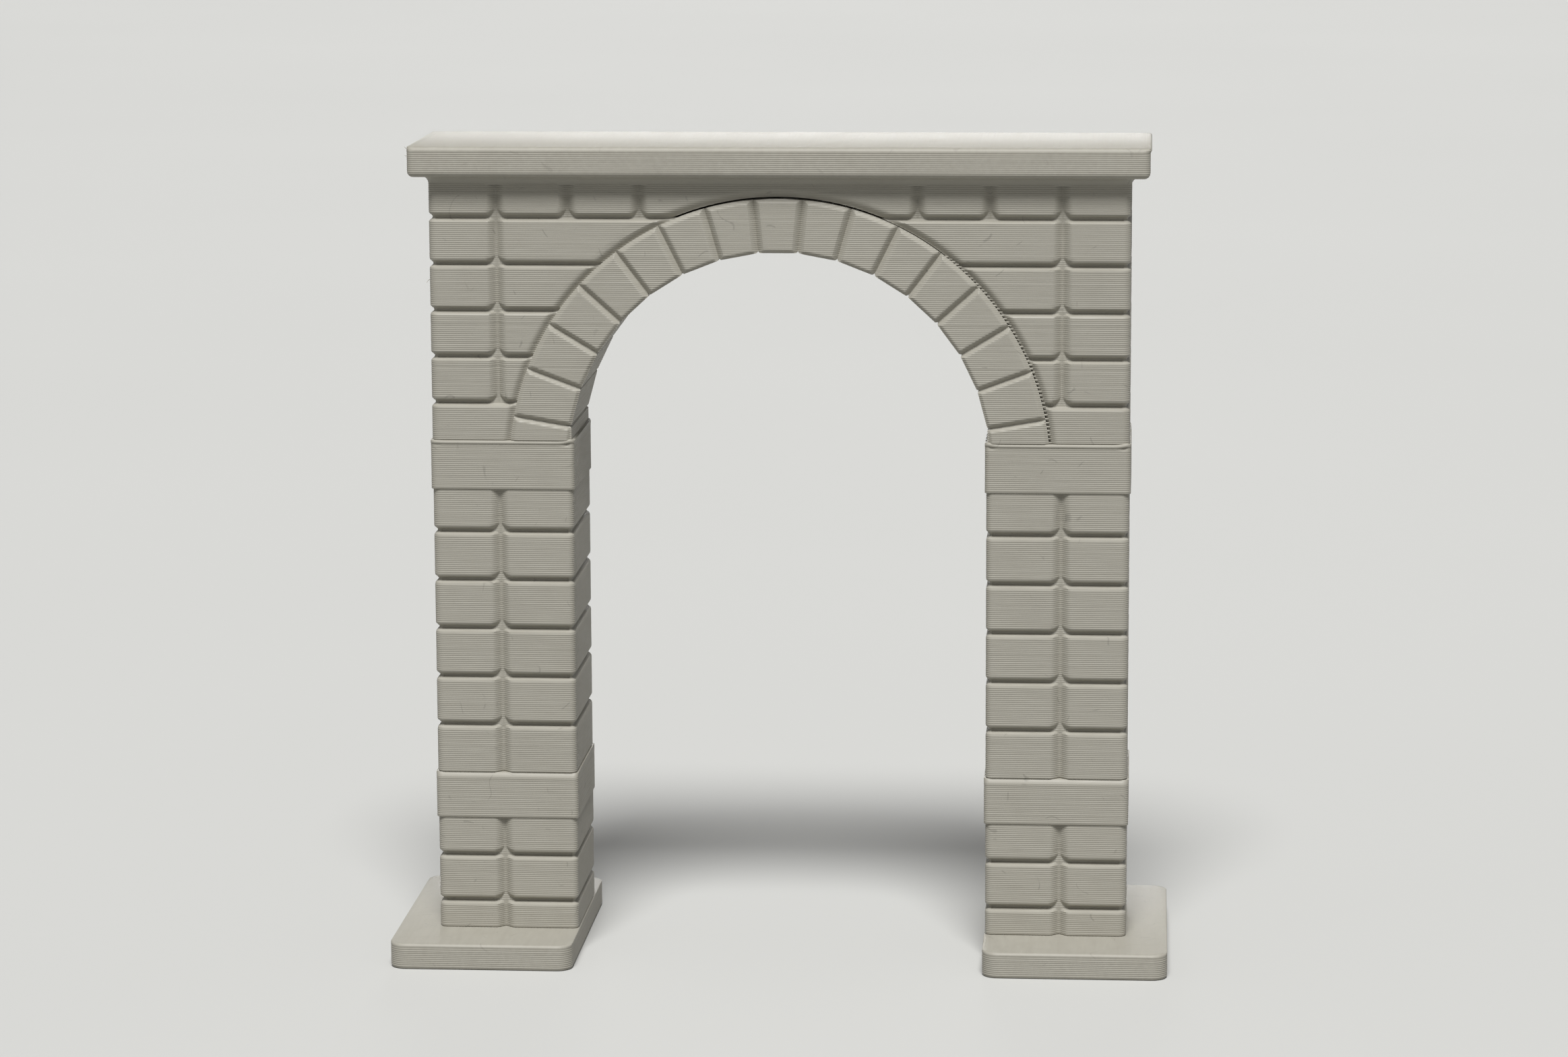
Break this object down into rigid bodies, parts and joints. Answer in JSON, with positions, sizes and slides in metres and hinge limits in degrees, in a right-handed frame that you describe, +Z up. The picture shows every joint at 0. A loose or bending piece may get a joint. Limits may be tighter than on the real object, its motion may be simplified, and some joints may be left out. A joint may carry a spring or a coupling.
{
  "type": "masonry arch model",
  "caption": "Printed model of a round stone arch: coursed piers on foot plates, wedge stones springing from imposts, spandrel walls and an overhanging coping slab.",
  "frame": {"origin": "ground level, midway between the two piers and midway through the wall", "axes": "+X across the front towards the right pier, +Y from the front to the back, +Z up"},
  "size_m": [0.1102, 0.0406, 0.1162],
  "materials": {
    "printed_plastic": "matte, with fine level print lines"
  },
  "bodies": {
    "root": {"coping": "printed_plastic", "cove_moulding": "printed_plastic", "crown_stone": "printed_plastic", "keystone": "printed_plastic", "left_band": "printed_plastic", "left_base_plate": "printed_plastic", "left_impost": "printed_plastic", "left_pier_foot": "printed_plastic", "left_pier_shaft": "printed_plastic", "left_spandrel_course_1": "printed_plastic", "left_spandrel_course_2": "printed_plastic", "left_spandrel_course_3": "printed_plastic", "left_spandrel_course_4": "printed_plastic", "left_spandrel_course_5": "printed_plastic", "left_springer": "printed_plastic", "left_top_course": "printed_plastic", "left_voussoir_1": "printed_plastic", "left_voussoir_2": "printed_plastic", "left_voussoir_3": "printed_plastic", "left_voussoir_4": "printed_plastic", "left_voussoir_5": "printed_plastic", "left_voussoir_6": "printed_plastic", "left_voussoir_7": "printed_plastic", "right_band": "printed_plastic", "right_base_plate": "printed_plastic", "right_impost": "printed_plastic", "right_pier_foot": "printed_plastic", "right_pier_shaft": "printed_plastic", "right_spandrel_course_1": "printed_plastic", "right_spandrel_course_2": "printed_plastic", "right_spandrel_course_3": "printed_plastic", "right_spandrel_course_4": "printed_plastic", "right_spandrel_course_5": "printed_plastic", "right_springer": "printed_plastic", "right_top_course": "printed_plastic", "right_voussoir_1": "printed_plastic", "right_voussoir_2": "printed_plastic", "right_voussoir_3": "printed_plastic", "right_voussoir_4": "printed_plastic", "right_voussoir_5": "printed_plastic", "right_voussoir_6": "printed_plastic", "right_voussoir_7": "printed_plastic"}
  },
  "joints": []
}
